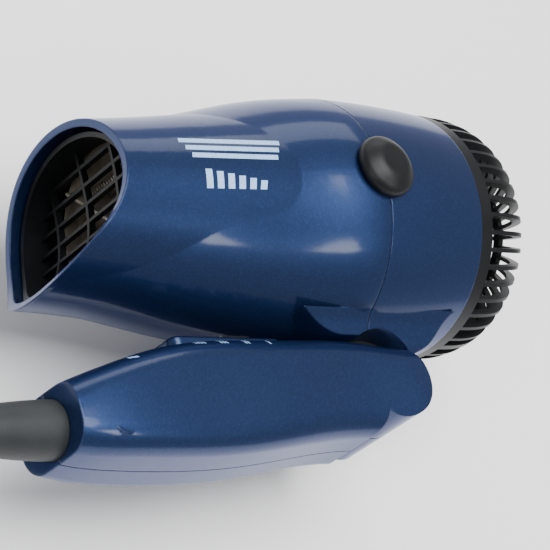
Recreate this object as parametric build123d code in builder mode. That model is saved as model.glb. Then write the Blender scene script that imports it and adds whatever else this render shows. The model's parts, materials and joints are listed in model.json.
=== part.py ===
from build123d import *
import os
from math import cos, pi, radians, sin, sqrt, tan

# Travel hair dryer with a folding handle, in millimetres. It lies on its side, with the handle folded.
# +X runs along the barrel towards the nozzle, +Y from the barrel towards the handle, +Z up.
# The origin is under the joint line between the two housings, on the surface that the dryer lies on.

os.makedirs("parts", exist_ok=True)

# ---- driving dimensions -------------------------------------------------------------------------
AXIS_Z = 44.0           # height of the barrel's axis, and of the plane that the dryer is symmetric about
WALL = 2.2              # wall of the moulded housings
GAP = 0.12              # half of the dark line between two housings

RING_X = -38.3          # front edge of the black intake ring
RING_RADIUS = 37.4
SEAM_RADIUS = 38.7      # barrel at the joint line between the housings, x = 0
RIM_REACH = 112.0       # the barrel's solids run to here before the rim is cut

# bulging body: x, half width across Z, reach towards -Y, reach towards the handle (+Y)
BODY = (
    (0, SEAM_RADIUS, SEAM_RADIUS, SEAM_RADIUS),
    (12, 37.2, 37.6, 38.1),
    (26, 34.2, 35.6, 36.4),
    (42, 31.8, 31.8, 34.4),
    (65, 28.6, 26.8, 30.6),
    (88, 25.0, 22.0, 27.2),
    (RIM_REACH, 20.5, 16.8, 23.3),
)
# nozzle tube that comes out of the body: x, half width across Z, half height along Y, offset of its axis
TUBE = ((0, 36.0, 35.2, 0.0), (42, 32.6, 31.0, 0.4), (86, 29.2, 25.9, 0.7), (RIM_REACH, 28.4, 24.9, 0.9))
# slanted mouth, seen along Z
RIM = ((84.0, -30), (84.4, -16), (86.2, 0), (90.0, 10), (96.5, 18), (105.0, 27), (107.5, 31))

PIVOT = (-4.0, 54.0)    # fold pin, seen along Z
KNUCKLE_RADIUS = 12.3
PIN_RADIUS = 4.0
PIN_FIT = 0.05
ARM_HALF = 6.0          # half thickness of the arm between the handle's cheeks
CHEEK_HALF = 6.9        # inner face of each cheek
FOLD_CLEARANCE_RADIUS = 15.5

# handle: x, side towards the barrel, side away from it, half width
HANDLE = (
    (-20, 41.0, 69.8, 15.9),
    (5, 41.0, 70.0, 16.1),
    (30, 41.0, 72.0, 16.4),
    (58, 41.9, 75.0, 16.6),
    (77, 44.2, 75.4, 16.4),
    (92, 48.0, 75.0, 15.9),
    (103, 51.2, 74.2, 14.8),
    (113, 54.6, 72.4, 13.4),
)
HANDLE_ROUND = 7.5
HANDLE_END_X = 110.6
RELIEF_Y = 63.6
RELIEF_RADIUS = 8.0     # where it leaves the handle
RELIEF_END_X = 156.0

SWITCH_X = 42.0         # slider at off
SWITCH_TRAVEL = 13.5    # off, cool, low, high
PLATFORM_Y = 39.5

HEATER_Y = 1.3
LINER_RADIUS = 24.4
COLLAR_X = 70.9         # rear of the collar that carries the outlet lattice
COLLAR_Y = 0.8
COLLAR_HALF = (22.8, 26.0)     # half height and half width of the collar inside the mouth

CORD_DIAMETER = 7.0
COIL_CENTRE = (166.0, 23.6)
COIL_BASE = 0.9         # the tie passes under the coil
COIL_COLUMNS, COIL_LAYERS = 2, 3
COIL_OUTSIDE = 45.0
COIL_HEIGHT = COIL_LAYERS * CORD_DIAMETER

PLUG_TURN = -8.0        # the plug's direction, degrees from +X
PLUG_ENTRY = (203.0, 63.6, 13.5)
PLUG_BODY = (44.0, 33.0, 27.0)
BLADE_SPACING = 12.7


def across(x, y=0.0, z=AXIS_Z):
    """Plane across the barrel: its x is +Y and its y is +Z."""
    return Plane(origin=(x, y, z), x_dir=(0, 1, 0), z_dir=(1, 0, 0))


def level(z=AXIS_Z):
    """Plane parallel to the surface, with its axes along X and Y."""
    return Plane.XY.offset(z)


def keep(builder, name):
    """Labels a finished piece and writes its file."""
    builder.part.label = name
    export_step(builder.part, f"parts/{name}.step")


def barrel_solid(inset):
    """Body and nozzle tube as one solid, its surface moved inwards by inset."""
    with BuildPart() as solid:
        for x, half_width, up, down in BODY:
            with BuildSketch(across(x, (down - up) / 2)):
                Ellipse((up + down) / 2 - inset, half_width - inset)
        loft()
        for x, half_width, half_height, offset_y in TUBE:
            with BuildSketch(across(x, offset_y)):
                Ellipse(half_height - inset, half_width - inset)
        loft()
    return solid.part


def beyond_rim(shift):
    """Everything in front of the slanted rim, moved along X by shift."""
    points = [(x + shift, y) for x, y in RIM]
    with BuildPart() as solid:
        with BuildSketch(level()):
            with BuildLine():
                Spline(*points)
                Polyline(
                    points[-1], (points[-1][0], 60), (160, 60), (160, -60), (points[0][0], -60), points[0],
                )
            make_face()
        extrude(amount=60, both=True)
    return solid.part


def rear_solid(inset):
    """Rear housing's round body, its surface moved inwards by inset."""
    with BuildPart() as solid:
        with BuildSketch(level()):
            with BuildLine():
                edge = ThreePointArc(
                    (RING_X, RING_RADIUS - inset), (-18, 38.62 - inset), (0, SEAM_RADIUS - inset)
                )
                Polyline(edge @ 1, (0, 0), (RING_X, 0), edge @ 0)
            make_face()
        revolve(axis=Axis((0, 0, AXIS_Z), (1, 0, 0)))
    return solid.part


def hinge_boss():
    """Raised pad on the handle side of the barrel, hollowed round the handle's knuckle."""
    with BuildPart() as boss:
        with BuildSketch(level()):
            with BuildLine():
                Spline((-34, 34), (-26, 41.0), (-17, 45.2), tangents=((1, 0.5), (1, 0.2)))
                Polyline((-17, 45.2), (-6, 40.4), (9, 40.4))
                Spline((9, 40.4), (16, 39.0), (26, 34), tangents=((1, 0), (1, -0.5)))
                Line((26, 34), (-34, 34))
            make_face()
        extrude(amount=25, both=True)
        with BuildSketch(across(-40)):
            with BuildLine():
                Spline((30, 21), (36.5, 15.5), (41.5, 13.2), tangents=((1, -0.4), (1, -0.3)))
                ThreePointArc((41.5, 13.2), (44.6, 11.4), (45.6, 8))
                Line((45.6, 8), (45.6, 0))
                mirror(about=Plane.XZ)
                Line((30, 21), (30, -21))
            make_face()
        extrude(amount=80, mode=Mode.INTERSECT)
        with BuildSketch(level()):
            with Locations(PIVOT):
                Circle(FOLD_CLEARANCE_RADIUS)
        extrude(amount=25, both=True, mode=Mode.SUBTRACT)
    return boss.part


def arm_slot():
    """Opening in the housings that the pivot arm passes through."""
    with BuildPart() as slot:
        with Locations((PIVOT[0], 37, AXIS_Z)):
            Box(21.2, 16, 2 * ARM_HALF + 0.4)
    return slot.part


def cap_seats():
    """Round seats for the side caps and the holes for their screws, at both ends of the seam."""
    with BuildPart() as seats:
        for side in (1, -1):
            with BuildSketch(level(AXIS_Z + side * (SEAM_RADIUS - 1.1))):
                Circle(5.4)
            extrude(amount=side * 6)
            with BuildSketch(level(AXIS_Z + side * 30)):
                Circle(1.7)
            extrude(amount=side * 12)
    return seats.part


# ---- barrel housings ----------------------------------------------------------------------------
with BuildPart() as front_housing:
    add(barrel_solid(0))
    add(hinge_boss())
    add(beyond_rim(0), mode=Mode.SUBTRACT)
    add(barrel_solid(WALL), mode=Mode.SUBTRACT)
    add(arm_slot(), mode=Mode.SUBTRACT)
    add(cap_seats(), mode=Mode.SUBTRACT)
    split(bisect_by=Plane.YZ.offset(GAP), keep=Keep.TOP)
keep(front_housing, "front_housing")

LIP_RADIUS = 35.7       # rear housing's lip, inside the front housing
with BuildPart() as rear_housing:
    add(rear_solid(0))
    add(hinge_boss())
    add(rear_solid(WALL), mode=Mode.SUBTRACT)
    with BuildSketch(across(-8)):
        Circle(SEAM_RADIUS - 1)
        Circle(34.2, mode=Mode.SUBTRACT)
    extrude(amount=8 - GAP)
    split(bisect_by=Plane.YZ.offset(-GAP), keep=Keep.BOTTOM)
    with BuildSketch(across(-8)):
        Circle(LIP_RADIUS)
        Circle(34.2, mode=Mode.SUBTRACT)
    extrude(amount=11.5)
    add(arm_slot(), mode=Mode.SUBTRACT)
    add(cap_seats(), mode=Mode.SUBTRACT)
keep(rear_housing, "rear_housing")

# ---- side caps and their screws -----------------------------------------------------------------
CAP_RADIUS = 9.4
for side, name in ((1, "side_cap_near"), (-1, "side_cap_far")):
    with BuildPart() as side_cap:
        with BuildSketch(Plane(origin=(0, 0, AXIS_Z), x_dir=(1, 0, 0), z_dir=(0, -1, 0))):
            with BuildLine():
                Polyline((0, side * AXIS_Z), (3.5, side * AXIS_Z))
                Spline(
                    (3.5, side * AXIS_Z), (7.4, side * (AXIS_Z - 1.5)), (CAP_RADIUS, side * (AXIS_Z - 4.6)),
                    tangents=((1, 0), (0, -side)),
                )
                Polyline(
                    (CAP_RADIUS, side * (AXIS_Z - 4.6)), (CAP_RADIUS - 0.6, side * 37.5),
                    (0, side * 37.5), (0, side * AXIS_Z),
                )
            make_face()
        revolve(axis=Axis((0, 0, 0), (0, 0, 1)))
        with BuildSketch(across(-30)):
            Circle(SEAM_RADIUS + 0.1)
        extrude(amount=60, mode=Mode.SUBTRACT)
        with BuildSketch(level(AXIS_Z + side * (SEAM_RADIUS - 1.0))):
            Circle(5.2)
            Circle(4.2, mode=Mode.SUBTRACT)
        extrude(amount=side * 2.2)
    keep(side_cap, name)

with BuildPart() as cap_screws:
    for side in (1, -1):
        with BuildSketch(level(AXIS_Z + side * (SEAM_RADIUS - 1.1))):
            Circle(3.6)
        extrude(amount=side * 1.0)
        with BuildSketch(level(AXIS_Z + side * (SEAM_RADIUS - 1.1))):
            Circle(1.45)
        extrude(amount=-side * 3.6)
keep(cap_screws, "cap_screws")

# ---- intake grille ------------------------------------------------------------------------------
RIB_COUNT = 44
SPOKE_COUNT = 11
RIB_WIDTH = 1.2
DOME = ((-42.6, 37.2), (-51, 36.7), (-58, 34.4), (-63, 29.4), (-65.3, 23.5), (-66.0, 18.0))
DOME_INNER = ((-42.6, 34.8), (-50.4, 34.3), (-56.6, 32.2), (-61, 27.8), (-63.1, 22.8), (-63.8, 18.0))
with BuildPart() as intake_grille:
    with BuildSketch(level()):
        with BuildLine():
            Polyline(
                (RING_X - 0.1, 35.0), (RING_X - 0.1, RING_RADIUS - 0.1), (-42.9, 37.2), (-42.9, 33.8),
                (-33.0, 33.8), (-33.0, 35.0), (RING_X - 0.1, 35.0),
            )
        make_face()
    revolve(axis=Axis((0, 0, AXIS_Z), (1, 0, 0)))
    with BuildSketch(level()) as rib:
        with BuildLine():
            Spline(*DOME)
            Line(DOME[-1], DOME_INNER[-1])
            Spline(*DOME_INNER)
            Line(DOME_INNER[0], DOME[0])
        make_face()
    for index in range(RIB_COUNT):
        turned = Plane(
            origin=(0, 0, AXIS_Z), x_dir=(1, 0, 0),
            z_dir=(0, -sin(2 * pi * index / RIB_COUNT), cos(2 * pi * index / RIB_COUNT)),
        )
        add(extrude(turned * rib.sketch.moved(Location((0, 0, -AXIS_Z))), RIB_WIDTH / 2, both=True))
    for radius, width in ((18.9, 2.2), (13.2, 1.3)):
        with BuildSketch(across(-66.0)):
            Circle(radius + width / 2)
            Circle(radius - width / 2, mode=Mode.SUBTRACT)
        extrude(amount=2.0)
    with BuildSketch(across(-66.5)):
        Circle(8.0)
    extrude(amount=2.4)
    with BuildSketch(across(-65.8)):
        with PolarLocations(13.0, SPOKE_COUNT):
            Rectangle(11.2, RIB_WIDTH)
    extrude(amount=1.8)
keep(intake_grille, "intake_grille")

# ---- fan ----------------------------------------------------------------------------------------
DUCT_RADIUS = 33.6
CUP_RADIUS = 16.2
with BuildPart() as fan_duct:
    with BuildSketch(across(-32.8)):
        Circle(DUCT_RADIUS)
        Circle(DUCT_RADIUS - 1.4, mode=Mode.SUBTRACT)
    extrude(amount=40)
    with BuildSketch(across(-32.8)):
        Circle(35.3)
        Circle(DUCT_RADIUS - 1.4, mode=Mode.SUBTRACT)
    extrude(amount=1.5)
    with BuildSketch(across(-9)):
        Circle(CUP_RADIUS)
        Circle(14.6, mode=Mode.SUBTRACT)
    extrude(amount=16)
    with BuildSketch(across(-9)):
        Circle(CUP_RADIUS)
        Circle(5.0, mode=Mode.SUBTRACT)
    extrude(amount=1.4)
    with BuildSketch(across(-7)):
        with PolarLocations((CUP_RADIUS + DUCT_RADIUS) / 2 - 0.5, 9):
            Rectangle(DUCT_RADIUS - CUP_RADIUS - 0.4, 1.4)
    extrude(amount=12)
keep(fan_duct, "fan_duct")

with BuildPart() as fan_impeller:
    with BuildSketch(across(-30)):
        Circle(8.0)
    extrude(amount=15)
    with BuildSketch(across(-30)):
        Circle(1.2)
    extrude(amount=15, mode=Mode.SUBTRACT)
    for index in range(7):
        angle = 2 * pi * index / 7
        blade = Plane(
            origin=(-22.5, 19.2 * cos(angle), AXIS_Z + 19.2 * sin(angle)),
            x_dir=(0, cos(angle), sin(angle)), z_dir=(cos(radians(35)), -sin(angle) * sin(radians(35)),
                                                      cos(angle) * sin(radians(35))),
        )
        with BuildSketch(blade):
            SlotOverall(24, 12)
        extrude(amount=0.7, both=True)
keep(fan_impeller, "fan_impeller")

# ---- motor --------------------------------------------------------------------------------------
MOTOR_FRONT = 24.0
with BuildPart() as motor_can:
    with BuildSketch(across(-7.4)):
        Circle(14.4)
    extrude(amount=MOTOR_FRONT + 7.4)
    fillet(motor_can.edges().sort_by(Axis.X)[0], 2)
    with BuildSketch(across(-7.4)):
        Circle(1.3)
    extrude(amount=4, mode=Mode.SUBTRACT)
keep(motor_can, "motor_can")

with BuildPart() as motor_end_cap:
    with BuildSketch(across(MOTOR_FRONT + 0.1)):
        Circle(13.4)
    extrude(amount=3.4)
    fillet(motor_end_cap.edges().sort_by(Axis.X)[-1], 1)
    with BuildSketch(across(MOTOR_FRONT + 3.5)):
        with Locations((0, 9), (0, -9)):
            Rectangle(3.2, 1.2)
    extrude(amount=3.5)
keep(motor_end_cap, "motor_end_cap")

with BuildPart() as motor_shaft:
    with BuildSketch(across(-31.0)):
        Circle(1.2)
    extrude(amount=27)
keep(motor_shaft, "motor_shaft")

RECTIFIER_X = MOTOR_FRONT + 8.0
with BuildPart() as rectifier_board:
    with BuildSketch(across(RECTIFIER_X)):
        Circle(11)
        with Locations((0, 9), (0, -9)):
            Rectangle(4.2, 2.2, mode=Mode.SUBTRACT)
    extrude(amount=1.2)
keep(rectifier_board, "rectifier_board")

with BuildPart() as rectifier_diodes:
    for offset_y in (-6.0, -2.0, 2.0, 6.0):
        with BuildSketch(level(AXIS_Z - 2.5)):
            with Locations((RECTIFIER_X + 2.9, offset_y)):
                Circle(1.4)
        extrude(amount=5)
keep(rectifier_diodes, "rectifier_diodes")

# ---- heater -------------------------------------------------------------------------------------
BOARD_ANGLES = (42, -48)
BOARD_REAR, BOARD_FRONT = 36.5, 70.5
BOARD_REACH = 22.4
BOARD_THICK = 0.8
WINDING_XS = [41.5 + 4.6 * turn for turn in range(6)]
WINDING_CORNER = 20.6

with BuildPart() as mica_liner:
    with BuildSketch(across(30, HEATER_Y)):
        Circle(LINER_RADIUS)
        Circle(LINER_RADIUS - 0.7, mode=Mode.SUBTRACT)
    extrude(amount=38)
keep(mica_liner, "mica_liner")

for name, angle, slot_x in (
    ("mica_board_a", BOARD_ANGLES[0], BOARD_FRONT),
    ("mica_board_b", BOARD_ANGLES[1], BOARD_REAR),
):
    turn = radians(angle)
    board_plane = Plane(origin=(0, HEATER_Y, AXIS_Z), x_dir=(1, 0, 0), z_dir=(0, -sin(turn), cos(turn)))
    middle = (BOARD_REAR + BOARD_FRONT) / 2
    with BuildPart() as mica_board:
        with BuildSketch(board_plane):
            with Locations((middle, 0)):
                Rectangle(BOARD_FRONT - BOARD_REAR, 2 * BOARD_REACH)
            with Locations([(x, side * BOARD_REACH) for x in WINDING_XS for side in (1, -1)]):
                Rectangle(2.4, 7.6, mode=Mode.SUBTRACT)
            with Locations((slot_x, 0)):
                Rectangle(BOARD_FRONT - BOARD_REAR + 0.2, BOARD_THICK + 0.1, mode=Mode.SUBTRACT)
        extrude(amount=BOARD_THICK / 2, both=True)
    keep(mica_board, name)

with BuildPart() as heating_coils:
    for x in WINDING_XS:
        corners = [
            (x, HEATER_Y + WINDING_CORNER * cos(radians(a)), AXIS_Z + WINDING_CORNER * sin(radians(a)))
            for a in (42, 132, 222, 312)
        ]
        with BuildLine() as turn_path:
            FilletPolyline(*corners, radius=2.5, close=True)
        with BuildSketch(Plane(origin=turn_path.line @ 0, z_dir=turn_path.line % 0)):
            Circle(0.9)
        sweep(path=turn_path.line)
keep(heating_coils, "heating_coils")

with BuildPart() as thermostat:
    with Locations((62, HEATER_Y + 9.8, AXIS_Z + 3.4)):
        Box(9, 5, 3.4)
    with BuildSketch(level(AXIS_Z + 5.1)):
        with Locations((62, HEATER_Y + 9.8)):
            Circle(1.6)
    extrude(amount=1.0)
keep(thermostat, "thermostat")

with BuildPart() as thermal_fuse:
    with BuildSketch(across(48, HEATER_Y - 3.2, AXIS_Z + 9.5)):
        Circle(1.6)
    extrude(amount=11)
    with BuildSketch(across(45, HEATER_Y - 3.2, AXIS_Z + 9.5)):
        Circle(0.5)
    extrude(amount=17)
keep(thermal_fuse, "thermal_fuse")

# ---- outlet grille ------------------------------------------------------------------------------
BAR_PITCH_Y, BAR_PITCH_Z = 5.5, 14.2
LATTICE_SHIFT = -9.0    # front of the lattice, behind the rim
with BuildPart() as outlet_grille:
    with BuildSketch(across(60, COLLAR_Y)):
        with Locations([(row * BAR_PITCH_Y, 0) for row in range(-4, 5)]):
            Rectangle(1.0, 2 * COLLAR_HALF[1])
        with Locations([(0, column * BAR_PITCH_Z - 1.5) for column in (-1, 0, 1)]):
            Rectangle(2 * COLLAR_HALF[0], 1.0)
    extrude(amount=50)
    with BuildSketch(across(60, COLLAR_Y)):
        Ellipse(COLLAR_HALF[0] - 0.8, COLLAR_HALF[1] - 0.8)
    extrude(amount=50, mode=Mode.INTERSECT)
    add(beyond_rim(LATTICE_SHIFT), mode=Mode.SUBTRACT)
    add(beyond_rim(LATTICE_SHIFT - 2.2), mode=Mode.INTERSECT)
    with BuildSketch(across(COLLAR_X, COLLAR_Y)):
        Ellipse(*COLLAR_HALF)
        Ellipse(COLLAR_HALF[0] - 1.4, COLLAR_HALF[1] - 1.4, mode=Mode.SUBTRACT)
    extrude(amount=45)
    add(beyond_rim(-3.0), mode=Mode.SUBTRACT)
keep(outlet_grille, "outlet_grille")

# ---- fold pivot ---------------------------------------------------------------------------------
with BuildPart() as pivot_arm:
    with BuildSketch(level()):
        with BuildLine():
            Polyline((PIVOT[0] - 10.2, 34), (PIVOT[0] - 10.2, PIVOT[1] - 2))
            ThreePointArc(
                (PIVOT[0] - 10.2, PIVOT[1] - 2), (PIVOT[0], PIVOT[1] + 10.4), (PIVOT[0] + 10.2, PIVOT[1] - 2)
            )
            Polyline((PIVOT[0] + 10.2, PIVOT[1] - 2), (PIVOT[0] + 10.2, 34), (PIVOT[0] - 10.2, 34))
        make_face()
        with Locations(PIVOT):
            Circle(PIN_RADIUS + PIN_FIT, mode=Mode.SUBTRACT)
    extrude(amount=ARM_HALF, both=True)
    with Locations((-11.3, 34.9, AXIS_Z), (4.9, 34.6, AXIS_Z)):
        Box(2.6, 0.9, 17)   # keys that hold the arm inside the housings
keep(pivot_arm, "pivot_arm")

with BuildPart() as hinge_pin:
    with BuildSketch(level()):
        with Locations(PIVOT):
            Circle(PIN_RADIUS)
            Circle(2.6, mode=Mode.SUBTRACT)
    extrude(amount=14, both=True)
keep(hinge_pin, "hinge_pin")

with BuildPart() as hinge_washers:
    for side in (1, -1):
        with BuildSketch(level(AXIS_Z + side * (ARM_HALF + 0.35))):
            with Locations(PIVOT):
                Circle(8.5)
                Circle(PIN_RADIUS + PIN_FIT, mode=Mode.SUBTRACT)
        extrude(amount=side * 0.5)
keep(hinge_washers, "hinge_washers")

# ---- handle -------------------------------------------------------------------------------------
HANDLE_SCREWS = ((20, 63.8), (66, 69.0), (98, 67.6))
CORNER_LIFT = 0.9       # how far the handle's sides bulge over their corners


def handle_solid(inset):
    """Handle as one solid, its surface moved inwards by inset."""
    with BuildPart() as solid:
        for x, near, far, half_width in HANDLE:
            half_y, half_z = (far - near) / 2 - inset, half_width - inset
            corner_y, corner_z = half_y - CORNER_LIFT / 2, half_z - CORNER_LIFT
            with BuildSketch(across(x, (near + far) / 2)) as section:
                with BuildLine():
                    ThreePointArc((-corner_y, -corner_z), (0, -half_z), (corner_y, -corner_z))
                    ThreePointArc((corner_y, -corner_z), (half_y, 0), (corner_y, corner_z))
                    ThreePointArc((corner_y, corner_z), (0, half_z), (-corner_y, corner_z))
                    ThreePointArc((-corner_y, corner_z), (-half_y, 0), (-corner_y, -corner_z))
                make_face()
                fillet(section.vertices(), HANDLE_ROUND - inset)
        loft()
        with BuildSketch(level()):
            with BuildLine():
                lobe_corner = (PIVOT[0] + 7.0, PIVOT[1] + sqrt(KNUCKLE_RADIUS ** 2 - 49))
                ThreePointArc(
                    (PIVOT[0], PIVOT[1] - KNUCKLE_RADIUS), (PIVOT[0] - KNUCKLE_RADIUS, PIVOT[1]), lobe_corner
                )
                Line(lobe_corner, (3.5, 66.2))
                ThreePointArc((3.5, 66.2), (5.2, 69.0), (8.6, 70.4))
                Polyline((8.6, 70.4), (8.6, 100), (HANDLE_END_X - 3.4, 100))
                ThreePointArc((HANDLE_END_X - 3.4, 100), (HANDLE_END_X, 65), (HANDLE_END_X - 3.4, 30))
                Polyline((HANDLE_END_X - 3.4, 30), (PIVOT[0], 30), (PIVOT[0], PIVOT[1] - KNUCKLE_RADIUS))
            make_face()
            if inset:
                offset(amount=-inset)
        extrude(amount=30, both=True, mode=Mode.INTERSECT)
    return solid.part


def switch_platform():
    """Low raised pad on the handle's inner side that the slider moves on."""
    with BuildPart() as pad:
        with BuildSketch(Plane(origin=(48.5, PLATFORM_Y, AXIS_Z), x_dir=(1, 0, 0), z_dir=(0, 1, 0))):
            RectangleRounded(40, 17, 3)
        extrude(amount=4.8)
        chamfer(pad.faces().sort_by(Axis.Y)[0].edges(), 0.6)
    return pad.part


with BuildPart() as handle_shell:
    add(handle_solid(0))
    add(switch_platform())
    add(handle_solid(WALL), mode=Mode.SUBTRACT)
    for side in (1, -1):
        with BuildSketch(level(AXIS_Z + side * CHEEK_HALF)):
            with Locations(PIVOT):
                Circle(8)
        extrude(amount=side * 7.5)
    with BuildSketch(level()):
        with Locations(HANDLE_SCREWS):
            Circle(3.4)
    extrude(amount=14.7, both=True)
    with BuildSketch(level(AXIS_Z - 14.2)):
        with Locations(PIVOT):
            Circle(PIN_RADIUS + 0.02)
    extrude(amount=28.4, mode=Mode.SUBTRACT)
    with Locations((PIVOT[0] - 4.4, PIVOT[1] - 6.0, AXIS_Z)):
        Box(31.4, 33, 2 * CHEEK_HALF, mode=Mode.SUBTRACT)
    with Locations((SWITCH_X + SWITCH_TRAVEL / 2, PLATFORM_Y, AXIS_Z)):
        Box(SWITCH_TRAVEL + 7.4, 14, 4.2, mode=Mode.SUBTRACT)
    with BuildSketch(across(HANDLE_END_X - 6, RELIEF_Y)):
        Circle(RELIEF_RADIUS + 0.1)
    extrude(amount=10, mode=Mode.SUBTRACT)

with BuildPart() as handle_half_near:
    add(handle_shell.part)
    split(bisect_by=level(AXIS_Z + GAP), keep=Keep.TOP)
    with BuildSketch(level()):
        with Locations(HANDLE_SCREWS):
            Circle(1.35)
    extrude(amount=9, mode=Mode.SUBTRACT)
keep(handle_half_near, "handle_half_near")

with BuildPart() as handle_half_far:
    add(handle_shell.part)
    split(bisect_by=level(AXIS_Z - GAP), keep=Keep.BOTTOM)
    with BuildSketch(level()):
        with Locations(HANDLE_SCREWS):
            Circle(1.6)
    extrude(amount=-20, mode=Mode.SUBTRACT)
    with BuildSketch(level(AXIS_Z - 11)):
        with Locations(HANDLE_SCREWS):
            Circle(2.9)
    extrude(amount=-10, mode=Mode.SUBTRACT)
keep(handle_half_far, "handle_half_far")

with BuildPart() as handle_screws:
    with BuildSketch(level(AXIS_Z - 11)):
        with Locations(HANDLE_SCREWS):
            Circle(2.7)
    extrude(amount=-1.9)
    with BuildSketch(level(AXIS_Z - 11)):
        with Locations(HANDLE_SCREWS):
            Circle(1.3)
    extrude(amount=19)
keep(handle_screws, "handle_screws")

# ---- switch -------------------------------------------------------------------------------------
with BuildPart() as switch_body:
    with Locations((SWITCH_X + 7, 50.2, AXIS_Z)):
        Box(30, 11, 13.5)
        fillet(switch_body.edges().filter_by(Axis.Z), 1)
    with Locations((SWITCH_X + SWITCH_TRAVEL / 2, 45.5, AXIS_Z)):
        Box(SWITCH_TRAVEL + 7, 3.4, 3.8, mode=Mode.SUBTRACT)
    with Locations([(SWITCH_X + x, 57.6, AXIS_Z + z) for x in (-2, 7, 16) for z in (-3.5, 3.5)]):
        Box(0.8, 4, 3.2)
keep(switch_body, "switch_body")

with BuildPart() as switch_slider:
    with BuildSketch(Plane(origin=(SWITCH_X, PLATFORM_Y - 0.3, AXIS_Z), x_dir=(1, 0, 0), z_dir=(0, -1, 0))):
        RectangleRounded(12.5, 9, 1.8)
    extrude(amount=1.9)
    with Locations([(SWITCH_X + x, PLATFORM_Y - 2.35, AXIS_Z) for x in (-3, -1, 1, 3)]):
        Box(0.8, 0.5, 7)
    with Locations((SWITCH_X, PLATFORM_Y + 2.6, AXIS_Z)):
        Box(6, 6, 3.4)
keep(switch_slider, "switch_slider")

with BuildPart() as handle_leads:
    for z in (-3.5, 3.5):
        with BuildSketch(across(SWITCH_X + 24, 58.5, AXIS_Z + z)):
            Circle(1.1)
        extrude(amount=RELIEF_Y - 27.5)
keep(handle_leads, "handle_leads")

# ---- strain relief ------------------------------------------------------------------------------
RELIEF_START_X = HANDLE_END_X - 5.8
with BuildPart() as strain_relief:
    with BuildSketch(level()):
        with BuildLine():
            Polyline(
                (RELIEF_START_X, RELIEF_Y),
                (RELIEF_START_X, RELIEF_Y + 8.3),
                (RELIEF_START_X + 2.2, RELIEF_Y + 8.3),
                (RELIEF_START_X + 2.2, RELIEF_Y + RELIEF_RADIUS),
                (HANDLE_END_X - 0.6, RELIEF_Y + RELIEF_RADIUS),
            )
            Spline(
                (HANDLE_END_X - 0.6, RELIEF_Y + RELIEF_RADIUS), (HANDLE_END_X + 12, RELIEF_Y + 7.4),
                (HANDLE_END_X + 27, RELIEF_Y + 5.9), (RELIEF_END_X, RELIEF_Y + 4.3),
            )
            Polyline((RELIEF_END_X, RELIEF_Y + 4.3), (RELIEF_END_X, RELIEF_Y), (RELIEF_START_X, RELIEF_Y))
        make_face()
    revolve(axis=Axis((0, RELIEF_Y, AXIS_Z), (1, 0, 0)))
keep(strain_relief, "strain_relief")

# ---- cord ---------------------------------------------------------------------------------------
RUN_ROUTE = (
    (RELIEF_END_X, RELIEF_Y, 44.0), (177.3, 63.4, 43.4), (196.8, 54.2, 40.0), (208.0, 34.8, 34.6),
    (208.0, 12.4, 29.0), (196.8, -7.0, 24.0), (177.3, -18.3, 20.0), (159.0, -18.6, 17.9),
)
TAIL_ROUTE = ((166.0, 65.1, 10.6), (178.6, 65.9, 11.9), (191.1, 65.27, 13.5), PLUG_ENTRY)


def corner_radii(route):
    """Bend radii, each as large as the two runs at its corner allow."""
    points = [Vector(*point) for point in route]
    radii = []
    for before, corner, after in zip(points, points[1:], points[2:]):
        half_turn = radians((corner - before).get_angle(after - corner)) / 2
        radii.append(0.45 * min((corner - before).length, (after - corner).length) / tan(half_turn))
    return radii


for name, route in (("cord_run", RUN_ROUTE), ("cord_tail", TAIL_ROUTE)):
    radii = corner_radii(route)
    with BuildPart() as cord:
        with BuildLine() as centre_line:
            FilletPolyline(*route, radius=radii)
        with BuildSketch(Plane(origin=centre_line.line @ 0, z_dir=centre_line.line % 0)):
            Circle(CORD_DIAMETER / 2)
        sweep(path=centre_line.line)
    length = centre_line.wire().length
    print(name, "radii", [round(r, 1) for r in radii], "length", round(length, 1),
          "volume", round(cord.part.volume), "expected", round(pi * (CORD_DIAMETER / 2) ** 2 * length))
    keep(cord, name)

with BuildPart() as cord_coil:
    with BuildSketch(level(COIL_BASE)):
        with Locations(COIL_CENTRE):
            Circle(COIL_OUTSIDE)
            Circle(COIL_OUTSIDE - COIL_COLUMNS * CORD_DIAMETER, mode=Mode.SUBTRACT)
    extrude(amount=COIL_HEIGHT)
    fillet(cord_coil.edges().filter_by(GeomType.CIRCLE), 3)
keep(cord_coil, "cord_coil")

TIE_ANGLE = 200
TIE_THICK = 0.8
with BuildPart() as cord_tie:
    tie_x = COIL_CENTRE[0] + (COIL_OUTSIDE - CORD_DIAMETER) * cos(radians(TIE_ANGLE))
    tie_y = COIL_CENTRE[1] + (COIL_OUTSIDE - CORD_DIAMETER) * sin(radians(TIE_ANGLE))
    tie_plane = Plane(
        origin=(tie_x, tie_y, COIL_BASE + COIL_HEIGHT / 2),
        x_dir=(cos(radians(TIE_ANGLE)), sin(radians(TIE_ANGLE)), 0),
        z_dir=(-sin(radians(TIE_ANGLE)), cos(radians(TIE_ANGLE)), 0),
    )
    with BuildSketch(tie_plane):
        RectangleRounded(17.0, COIL_HEIGHT + 2 * TIE_THICK + 0.2, 3.6)
        RectangleRounded(15.4, COIL_HEIGHT + 0.2, 2.8, mode=Mode.SUBTRACT)
    extrude(amount=5, both=True)
keep(cord_tie, "cord_tie")

# ---- plug ---------------------------------------------------------------------------------------
PLUG_RELIEF = 13.0
plug_turn = radians(PLUG_TURN)
plug_x_dir = (cos(plug_turn), sin(plug_turn), 0)


def plug_plane(along, aside=0.0, z=PLUG_BODY[2] / 2, up=(0, 0, 1)):
    """Plane at a place on the plug: along its length, aside across it, at height z."""
    x = PLUG_ENTRY[0] + along * cos(plug_turn) - aside * sin(plug_turn)
    y = PLUG_ENTRY[1] + along * sin(plug_turn) + aside * cos(plug_turn)
    return Plane(origin=(x, y, z), x_dir=plug_x_dir, z_dir=up)


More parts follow.
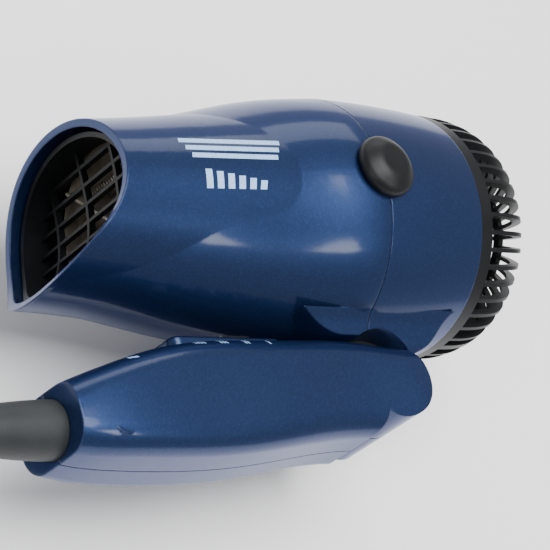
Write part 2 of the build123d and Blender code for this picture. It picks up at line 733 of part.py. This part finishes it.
plug_front = PLUG_RELIEF + PLUG_BODY[0]
with BuildPart() as plug_solid:
    with BuildSketch(plug_plane(PLUG_RELIEF + PLUG_BODY[0] / 2, z=0)):
        RectangleRounded(PLUG_BODY[0], PLUG_BODY[1], 6)
    extrude(amount=PLUG_BODY[2])
    fillet(plug_solid.faces().sort_by(Axis.Z)[-1].edges(), 2.5)
    fillet(plug_solid.faces().sort_by(Axis.Z)[0].edges(), 2)

BUTTONS = (("reset_button", PLUG_RELIEF + 16, 12.0, 7.5), ("test_button", PLUG_RELIEF + 29, 7.0, 7.5))
PLUG_SPLIT_Z = 12.0
with BuildPart() as plug_cover:
    add(plug_solid.part)
    split(bisect_by=level(PLUG_SPLIT_Z + GAP), keep=Keep.TOP)
    for name, along, length, width in BUTTONS:
        with BuildSketch(plug_plane(along, z=PLUG_BODY[2] - 9)):
            RectangleRounded(length + 0.5, width + 0.5, 1.4)
        extrude(amount=10, mode=Mode.SUBTRACT)
keep(plug_cover, "plug_cover")

with BuildPart() as plug_base:
    add(plug_solid.part)
    split(bisect_by=level(PLUG_SPLIT_Z - GAP), keep=Keep.BOTTOM)
    with Locations(plug_plane(plug_front - 4, z=PLUG_SPLIT_Z - 3.4)):
        with Locations((0, BLADE_SPACING / 2), (0, -BLADE_SPACING / 2)):
            Box(8.2, 1.6, 6.6, mode=Mode.SUBTRACT)
keep(plug_base, "plug_base")

for name, along, length, width in BUTTONS:
    with BuildPart() as button:
        with BuildSketch(plug_plane(along, z=PLUG_BODY[2] - 6.5)):
            RectangleRounded(length, width, 1.2)
        extrude(amount=7.9)
        fillet(button.faces().sort_by(Axis.Z)[-1].edges(), 0.5)
    keep(button, name)

with BuildPart() as plug_blades:
    with Locations(plug_plane(plug_front + 4.2, z=PLUG_SPLIT_Z - 3.4)):
        with Locations((0, BLADE_SPACING / 2), (0, -BLADE_SPACING / 2)):
            Box(24, 1.5, 6.3)
keep(plug_blades, "plug_blades")

with BuildPart() as plug_relief:
    for along, radius in ((0, 4.4), (PLUG_RELIEF, 7.5)):
        with BuildSketch(Plane(origin=plug_plane(along, z=PLUG_ENTRY[2]).origin, z_dir=plug_x_dir)):
            Circle(radius)
    loft()
keep(plug_relief, "plug_relief")
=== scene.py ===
"""Looks of the travel hair dryer: materials, prints, heater windings, cord, camera and light."""

import json
from math import cos, pi, radians, sin

import bmesh
import bpy
from mathutils import Matrix, Vector


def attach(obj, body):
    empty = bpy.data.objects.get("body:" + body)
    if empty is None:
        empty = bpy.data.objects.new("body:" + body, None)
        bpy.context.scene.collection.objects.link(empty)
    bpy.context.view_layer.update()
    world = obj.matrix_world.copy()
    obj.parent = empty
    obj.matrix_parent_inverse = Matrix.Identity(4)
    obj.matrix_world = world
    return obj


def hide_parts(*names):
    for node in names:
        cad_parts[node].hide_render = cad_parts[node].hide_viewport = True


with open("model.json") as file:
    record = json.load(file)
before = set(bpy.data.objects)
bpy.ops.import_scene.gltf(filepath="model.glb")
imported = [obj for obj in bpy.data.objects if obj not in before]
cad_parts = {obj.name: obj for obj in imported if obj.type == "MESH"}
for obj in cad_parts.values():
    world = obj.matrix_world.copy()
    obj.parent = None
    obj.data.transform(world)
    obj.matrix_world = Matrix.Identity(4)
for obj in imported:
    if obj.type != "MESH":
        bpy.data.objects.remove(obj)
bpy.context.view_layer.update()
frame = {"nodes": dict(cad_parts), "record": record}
MM = 0.001
AXIS_Z = 44 * MM    # height of the barrel's axis
SMOOTH_ANGLE = radians(24)    # edges sharper than this stay hard


# ---- camera, floor and light ------------------------------------------------------------------------
CAMERA_PLACE = (0.5151, 0.2783, 0.5286)
CAMERA_RIGHT = (-0.7398, 0.2750, 0.6140)
CAMERA_FORWARD = (-0.6717, -0.3535, -0.6510)
CAMERA_LENS = 170.2
FLOOR_HALF = 4    # metres
LIGHT_AIM = (0.03, 0.02, AXIS_Z)
# name, place, width, height, power
LIGHTS = (
    ("overhead", (0.15, 0.0, 1.9), 1.5, 1.5, 75),
    ("top_box", (-0.1, -1.0, 0.55), 1.2, 0.4, 4),
    ("front_box", (0.95, 0.40, 0.55), 0.16, 0.5, 2.6),
    ("side_box", (-0.30, 0.58, 0.85), 0.16, 0.24, 1.6),
)


def set_camera():
    data = bpy.data.cameras.new("camera")
    data.lens = CAMERA_LENS
    data.sensor_width = 36.0
    data.clip_start, data.clip_end = 0.05, 20
    camera = bpy.data.objects.new("camera", data)
    bpy.context.scene.collection.objects.link(camera)
    right = Vector(CAMERA_RIGHT).normalized()
    forward = Vector(CAMERA_FORWARD).normalized()
    up = right.cross(forward).normalized()
    right = forward.cross(up)
    turn = Matrix((right, up, -forward)).transposed()
    camera.matrix_world = Matrix.Translation(CAMERA_PLACE) @ turn.to_4x4()
    bpy.context.scene.camera = camera


def add_floor():
    mesh = bpy.data.meshes.new("floor")
    far = FLOOR_HALF
    mesh.from_pydata([(-far, -far, 0), (far, -far, 0), (far, far, 0), (-far, far, 0)], [], [(0, 1, 2, 3)])
    floor = bpy.data.objects.new("floor", mesh)
    bpy.context.scene.collection.objects.link(floor)
    material, _, _, shader = new_material("floor")
    shader.inputs["Roughness"].default_value = 0.9
    shader.inputs["Base Color"].default_value = (0.9, 0.9, 0.9, 1)
    floor.data.materials.append(material)


def area_light(name, place, width, height, power):
    data = bpy.data.lights.new(name, "AREA")
    data.shape = "RECTANGLE"
    data.size, data.size_y = width, height
    data.energy = power
    light = bpy.data.objects.new(name, data)
    bpy.context.scene.collection.objects.link(light)
    light.location = place
    light.rotation_euler = (Vector(LIGHT_AIM) - Vector(place)).to_track_quat("-Z", "Y").to_euler()


def set_light():
    world = bpy.data.worlds.new("world")
    world.use_nodes = True
    background = world.node_tree.nodes["Background"]
    background.inputs["Color"].default_value = (0.95, 0.96, 1.0, 1)
    background.inputs["Strength"].default_value = 0.5
    bpy.context.scene.world = world
    for light in LIGHTS:
        area_light(*light)


# ---- materials --------------------------------------------------------------------------------------
def new_material(name):
    material = bpy.data.materials.new(name)
    material.use_nodes = True
    nodes, links = material.node_tree.nodes, material.node_tree.links
    return material, nodes, links, nodes["Principled BSDF"]


def texture(nodes, links, kind, scale, **values):
    node = nodes.new(kind)
    place = nodes.new("ShaderNodeTexCoord")
    links.new(place.outputs["Object"], node.inputs["Vector"])
    node.inputs["Scale"].default_value = scale
    for key, value in values.items():
        node.inputs[key].default_value = value
    return node


def colour_ramp(nodes, links, source, stops):
    ramp = nodes.new("ShaderNodeValToRGB")
    elements = ramp.color_ramp.elements
    while len(elements) < len(stops):
        elements.new(0.5)
    for element, (place, colour) in zip(elements, stops):
        element.position = place
        element.color = (*colour, 1)
    links.new(source, ramp.inputs["Fac"])
    return ramp.outputs["Color"]


def value_range(nodes, links, source, low, high):
    node = nodes.new("ShaderNodeMapRange")
    node.inputs["To Min"].default_value = low
    node.inputs["To Max"].default_value = high
    links.new(source, node.inputs["Value"])
    return node.outputs["Result"]


def bump(nodes, links, shader, source, strength, distance):
    node = nodes.new("ShaderNodeBump")
    node.inputs["Strength"].default_value = strength
    node.inputs["Distance"].default_value = distance
    links.new(source, node.inputs["Height"])
    links.new(node.outputs["Normal"], shader.inputs["Normal"])


def soften_edges(nodes, links, shader, radius):
    """Shades the hard edges as small moulded roundings, under the bump and on the clear coat."""
    rounded = nodes.new("ShaderNodeBevel")
    rounded.inputs["Radius"].default_value = radius
    for node in nodes:
        if node.bl_idname == "ShaderNodeBump":
            links.new(rounded.outputs["Normal"], node.inputs["Normal"])
    links.new(rounded.outputs["Normal"], shader.inputs["Coat Normal"])


def metallic_paint():
    material, nodes, links, shader = new_material("blue_metallic_paint")
    flakes = texture(nodes, links, "ShaderNodeTexVoronoi", 3200)
    links.new(
        colour_ramp(nodes, links, flakes.outputs["Color"], [
            (0.0, (0.0085, 0.020, 0.066)), (0.62, (0.0105, 0.0245, 0.078)), (1.0, (0.016, 0.036, 0.105))]),
        shader.inputs["Base Color"],
    )
    shader.inputs["Metallic"].default_value = 0.65
    haze = texture(nodes, links, "ShaderNodeTexNoise", 60, Detail=4.0)
    links.new(value_range(nodes, links, haze.outputs["Fac"], 0.33, 0.40), shader.inputs["Roughness"])
    shader.inputs["Coat Weight"].default_value = 0.6
    shader.inputs["Coat Roughness"].default_value = 0.10
    shader.inputs["Coat IOR"].default_value = 1.38
    shader.inputs["Specular Tint"].default_value = (0.30, 0.42, 0.80, 1)
    bump(nodes, links, shader, flakes.outputs["Distance"], 0.03, 0.0001)
    soften_edges(nodes, links, shader, 0.8 * MM)
    return material


def moulded_black(name, low, high, grain=900, roughness=(0.36, 0.46), strength=0.12):
    material, nodes, links, shader = new_material(name)
    mottle = texture(nodes, links, "ShaderNodeTexNoise", 45, Detail=5.0)
    tint = colour_ramp(nodes, links, mottle.outputs["Fac"], [(0.3, low), (0.7, high)])
    links.new(tint, shader.inputs["Base Color"])
    links.new(value_range(nodes, links, mottle.outputs["Fac"], *roughness), shader.inputs["Roughness"])
    shader.inputs["Specular IOR Level"].default_value = 0.22
    fine = texture(nodes, links, "ShaderNodeTexNoise", grain, Detail=3.0)
    bump(nodes, links, shader, fine.outputs["Fac"], strength, 0.0002)
    return material


def metal(name, low, high, roughness=(0.22, 0.38), scale=70):
    material, nodes, links, shader = new_material(name)
    tone = texture(nodes, links, "ShaderNodeTexNoise", scale, Detail=6.0)
    tint = colour_ramp(nodes, links, tone.outputs["Fac"], [(0.3, low), (0.7, high)])
    links.new(tint, shader.inputs["Base Color"])
    links.new(value_range(nodes, links, tone.outputs["Fac"], *roughness), shader.inputs["Roughness"])
    shader.inputs["Metallic"].default_value = 1.0
    bump(nodes, links, shader, tone.outputs["Fac"], 0.08, 0.0002)
    return material


def mica_sheet():
    material, nodes, links, shader = new_material("mica_sheet")
    clouds = texture(nodes, links, "ShaderNodeTexNoise", 130, Detail=8.0, Distortion=1.2)
    links.new(
        colour_ramp(nodes, links, clouds.outputs["Fac"], [
            (0.25, (0.15, 0.125, 0.095)), (0.5, (0.28, 0.24, 0.19)), (0.75, (0.52, 0.46, 0.38))]),
        shader.inputs["Base Color"],
    )
    links.new(value_range(nodes, links, clouds.outputs["Fac"], 0.25, 0.55), shader.inputs["Roughness"])
    shader.inputs["Sheen Weight"].default_value = 0.15
    bump(nodes, links, shader, clouds.outputs["Fac"], 0.25, 0.0004)
    return material


def printed(name, low, high):
    material, nodes, links, shader = new_material(name)
    speckle = texture(nodes, links, "ShaderNodeTexNoise", 1400, Detail=2.0)
    tint = colour_ramp(nodes, links, speckle.outputs["Fac"], [(0.3, low), (0.7, high)])
    links.new(tint, shader.inputs["Base Color"])
    shader.inputs["Roughness"].default_value = 0.45
    bump(nodes, links, shader, speckle.outputs["Fac"], 0.1, 0.0001)
    return material


PAINT = metallic_paint()
BLACK = moulded_black("satin_black", (0.0035, 0.004, 0.0045), (0.007, 0.008, 0.009))
INNER = moulded_black("inner_black", (0.006, 0.006, 0.006), (0.014, 0.014, 0.014), roughness=(0.5, 0.65))
RUBBER = moulded_black(
    "cord_rubber", (0.014, 0.016, 0.017), (0.026, 0.029, 0.030),
    grain=700, roughness=(0.42, 0.55), strength=0.3,
)
STEEL = metal("zinc_steel", (0.42, 0.43, 0.44), (0.66, 0.67, 0.68))
BRASS = metal("plated_brass", (0.55, 0.42, 0.18), (0.78, 0.62, 0.30))
WIRE = metal("resistance_wire", (0.34, 0.31, 0.27), (0.62, 0.58, 0.52), scale=300)
MICA = mica_sheet()
BOARD = moulded_black("circuit_board", (0.02, 0.09, 0.03), (0.04, 0.16, 0.06))
RED = moulded_black("reset_red", (0.45, 0.02, 0.015), (0.60, 0.035, 0.03), roughness=(0.25, 0.35))
WHITE = moulded_black("test_white", (0.62, 0.62, 0.60), (0.78, 0.78, 0.75), roughness=(0.25, 0.35))
PRINT = printed("pale_blue_print", (0.26, 0.42, 0.68), (0.36, 0.54, 0.80))

SLOT_MATERIALS = {
    "blue_shell": PAINT, "black_trim": BLACK, "inner_plastic": INNER, "mica": MICA, "winding": WIRE,
    "steel": STEEL, "brass": BRASS, "circuit_board": BOARD, "cord_rubber": RUBBER, "button_red": RED,
    "button_white": WHITE,
}


def dress_nodes():
    """Gives every CAD node its material, and smooth shading up to its real edges."""
    for part in frame["record"]["subparts"]:
        node = frame["nodes"][part["node"]]
        node.data.materials.clear()
        node.data.materials.append(SLOT_MATERIALS[part["material_slot"]])
        node.data.shade_smooth()
        node.data.set_sharp_from_angle(angle=SMOOTH_ANGLE)


# ---- cord -------------------------------------------------------------------------------------------
CORD_DIAMETER = 7 * MM
COIL_CENTRE = Vector((166.0, 23.6, 0)) * MM
COIL_BASE = 0.9 * MM
RUN_ROUTE = (
    (156.0, 63.6, 44.0), (177.3, 63.4, 43.4), (196.8, 54.2, 40.0), (208.0, 34.8, 34.6),
    (208.0, 12.4, 29.0), (196.8, -7.0, 24.0), (177.3, -18.3, 20.0),
)
TAIL_ROUTE = ((178.6, 65.9, 11.9), (191.1, 65.27, 13.5), (203.0, 63.6, 13.5))
COIL_INNER = 34.5 * MM    # centre line radius of the inner column
COIL_START = -95    # degrees
TURN_POINTS = 16
STEP_POINTS = 4    # points over which the cord moves to the next column or layer
EXTRA_POINTS = 8    # points past the last full turn
CUT_POINTS = 2    # points left off at each end, where the run and the tail take over
# column (0 inner, 1 outer) and layer of each turn, from the run to the tail
TURNS = ((1, 2), (0, 2), (0, 1), (0, 0), (1, 0), (1, 1))


def coil_points():
    """Centre line of the coil's turns, clockwise, from under the run to the tail."""
    points = []
    total = len(TURNS) * TURN_POINTS + EXTRA_POINTS
    for index in range(CUT_POINTS, total - CUT_POINTS):
        turn, share = divmod(index, TURN_POINTS)
        turn = min(turn, len(TURNS) - 1)
        column, layer = TURNS[turn]
        if turn + 1 < len(TURNS) and share > TURN_POINTS - STEP_POINTS:
            blend = (share - (TURN_POINTS - STEP_POINTS)) / STEP_POINTS
            column += (TURNS[turn + 1][0] - column) * blend
            layer += (TURNS[turn + 1][1] - layer) * blend
        angle = radians(COIL_START - index * 360 / TURN_POINTS)
        radius = COIL_INNER + column * CORD_DIAMETER
        z = COIL_BASE + (layer + 0.5) * CORD_DIAMETER
        points.append((COIL_CENTRE.x + radius * cos(angle), COIL_CENTRE.y + radius * sin(angle), z))
    return points


def add_cord():
    run, tail = ([tuple(Vector(p) * MM) for p in route] for route in (RUN_ROUTE, TAIL_ROUTE))
    points = run + coil_points() + tail
    data = bpy.data.curves.new("cord", "CURVE")
    data.dimensions = "3D"
    data.resolution_u = 10
    data.bevel_depth = CORD_DIAMETER / 2
    data.bevel_resolution = 6
    spline = data.splines.new("NURBS")
    spline.points.add(len(points) - 1)
    for point, place in zip(spline.points, points):
        point.co = (*place, 1)
    spline.order_u = 3
    spline.use_endpoint_u = True
    cord = bpy.data.objects.new("mains_cord", data)
    bpy.context.scene.collection.objects.link(cord)
    data.materials.append(RUBBER)
    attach(cord, "handle")
    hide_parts("cord_run", "cord_tail", "cord_coil")


# ---- heater windings --------------------------------------------------------------------------------
HEATER_Y = 1.3 * MM
WINDING_XS = [(41.5 + 4.6 * turn) * MM for turn in range(6)]
WINDING_CORNER = 20.6 * MM
BOARD_ANGLE = 42
COIL_RADIUS = 0.85 * MM
COIL_PITCH = 1.15 * MM
COIL_STEPS = 8    # points to each turn of the fine coil
WIRE_RADIUS = 0.17 * MM


def add_windings():
    """Resistance wire, coiled finely, strung from board edge to board edge round the crossed boards."""
    data = bpy.data.curves.new("heater_windings", "CURVE")
    data.dimensions = "3D"
    data.bevel_depth = WIRE_RADIUS
    data.bevel_resolution = 1
    for x in WINDING_XS:
        corners = [
            Vector((
                x,
                HEATER_Y + WINDING_CORNER * cos(radians(a)),
                AXIS_Z + WINDING_CORNER * sin(radians(a)),
            ))
            for a in (BOARD_ANGLE, BOARD_ANGLE + 90, BOARD_ANGLE + 180, BOARD_ANGLE + 270)
        ]
        for first, second in zip(corners, corners[1:] + corners[:1]):
            along = (second - first).normalized()
            aside = along.cross(Vector((1, 0, 0)))
            length = (second - first).length
            steps = int(length / COIL_PITCH * COIL_STEPS)
            spline = data.splines.new("POLY")
            spline.points.add(steps)
            for index, point in enumerate(spline.points):
                angle = 2 * pi * index / COIL_STEPS
                place = first + along * (length * index / steps)
                place += COIL_RADIUS * (Vector((1, 0, 0)) * cos(angle) + aside * sin(angle))
                point.co = (*place, 1)
    windings = bpy.data.objects.new("heater_windings", data)
    bpy.context.scene.collection.objects.link(windings)
    data.materials.append(WIRE)
    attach(windings, "barrel")
    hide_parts("heating_coils")


# ---- prints -----------------------------------------------------------------------------------------
PRINT_LIFT = 0.05 * MM    # how far the print stands off its surface
PRINT_CELL = (1.2, 0.8)    # mm along X and Y
ABOVE_BARREL = 90 * MM    # heights that the prints are dropped from
ABOVE_HANDLE = 70 * MM


def print_strips(name, strips, height, body, onto):
    """Thin prints laid on a CAD surface. Each strip is x0, x1, y0, y1 and a lean in X across it, in mm."""
    mesh = bpy.data.meshes.new(name)
    builder = bmesh.new()
    for x0, x1, y0, y1, lean in strips:
        columns = max(2, round(abs(x1 - x0) / PRINT_CELL[0]))
        rows = max(2, round(abs(y1 - y0) / PRINT_CELL[1]))
        grid = [
            [
                builder.verts.new((
                    (x0 + (x1 - x0) * i / columns + lean * j / rows) * MM,
                    (y0 + (y1 - y0) * j / rows) * MM,
                    height,
                ))
                for j in range(rows + 1)
            ]
            for i in range(columns + 1)
        ]
        for low, high in zip(grid, grid[1:]):
            for j in range(rows):
                builder.faces.new((low[j], high[j], high[j + 1], low[j + 1]))
    builder.to_mesh(mesh)
    builder.free()
    prints = bpy.data.objects.new(name, mesh)
    bpy.context.scene.collection.objects.link(prints)
    wrap = prints.modifiers.new("wrap", "SHRINKWRAP")
    wrap.target = frame["nodes"][onto]
    wrap.wrap_method = "PROJECT"
    wrap.use_project_z = True
    wrap.use_negative_direction = True
    wrap.use_positive_direction = False
    wrap.offset = PRINT_LIFT
    mesh.materials.append(PRINT)
    bpy.context.view_layer.update()
    evaluated = prints.evaluated_get(bpy.context.evaluated_depsgraph_get())
    wrapped = bpy.data.meshes.new_from_object(evaluated)
    prints.modifiers.clear()
    prints.data = wrapped
    prints.data.name = name
    wrapped.shade_smooth()
    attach(prints, body)


def add_prints():
    """Plain stripes and bars on the barrel, and one more bar of marks at each step of the switch."""
    stripes = [(31 + 1.5 * k, 65 - 1.0 * k, -9.8 + 2.6 * k, -8.2 + 2.6 * k, 0.6) for k in range(3)]
    bars = [(40.5 + 3.6 * k, 42.7 + 3.6 * k, 0.6 + 0.6 * (5 - k), 6.2, 0.8) for k in range(6)]
    print_strips("barrel_print", stripes + bars, ABOVE_BARREL, "barrel", "front_housing")
    marks = []
    for step in range(4):
        x = 39.5 + 7.6 * step
        marks += [(x + 1.0 * k, x + 0.6 + 1.0 * k, 42.0, 44.6, 0.0) for k in range(step + 1)]
    marks.append((86.6, 89.4, 48.2, 48.9, 0.0))
    print_strips("switch_marks", marks, ABOVE_HANDLE, "handle", "handle_half_near")


set_camera()
add_floor()
set_light()
dress_nodes()
add_windings()
add_prints()
add_cord()
